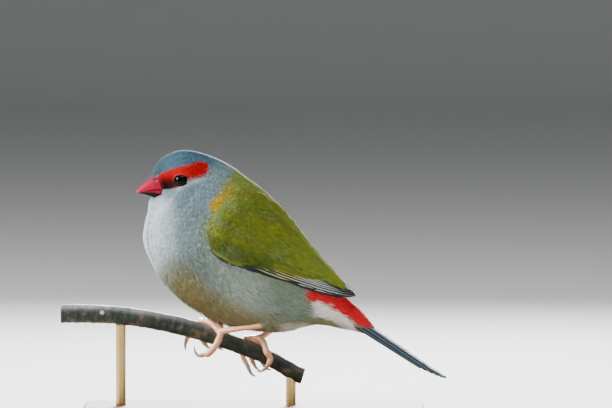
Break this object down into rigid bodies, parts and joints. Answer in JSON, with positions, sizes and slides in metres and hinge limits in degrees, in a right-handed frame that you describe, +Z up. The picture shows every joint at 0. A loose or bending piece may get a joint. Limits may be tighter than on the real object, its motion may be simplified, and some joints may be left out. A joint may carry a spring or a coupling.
{
  "type": "red-browed finch on a branch perch and display stand",
  "caption": "Life-size still model of a red-browed finch gripping a short length of branch, held by a flat display base with two rods.",
  "frame": {"origin": "centre of the model's box at the level of the base's underside", "axes": "+X runs from the bird's head towards its tail along the branch, +Y to the bird's right side, +Z up"},
  "size_m": [0.1178, 0.058, 0.084],
  "materials": {
    "grey_feathers": "soft matt plumage",
    "breast_feathers": "soft matt plumage",
    "wing_feathers": "soft matt plumage",
    "tail_feathers": "soft matt plumage",
    "bill": "glossy horn",
    "eyes": "wet and glossy",
    "legs": "satin scaled skin",
    "claws": "satin horn",
    "branch": "rough bark",
    "stand_base": "satin varnished hardwood",
    "stand_rods": "brushed"
  },
  "bodies": {
    "root": {"head": "grey_feathers", "neck": "grey_feathers", "torso": "breast_feathers", "tail": "tail_feathers", "bill_upper": "bill", "bill_lower": "bill", "eye_left": "eyes", "eye_right": "eyes", "wing_left": "wing_feathers", "wing_right": "wing_feathers", "thigh_left": "breast_feathers", "thigh_right": "breast_feathers", "tarsus_left": "legs", "tarsus_right": "legs", "foot_left": "legs", "foot_right": "legs", "claw_left_hind": "claws", "claw_left_inner": "claws", "claw_left_middle": "claws", "claw_left_outer": "claws", "claw_right_hind": "claws", "claw_right_inner": "claws", "claw_right_middle": "claws", "claw_right_outer": "claws", "perch": "branch", "stand_base": "stand_base", "stand_rod_front": "stand_rods", "stand_rod_rear": "stand_rods"}
  },
  "joints": []
}
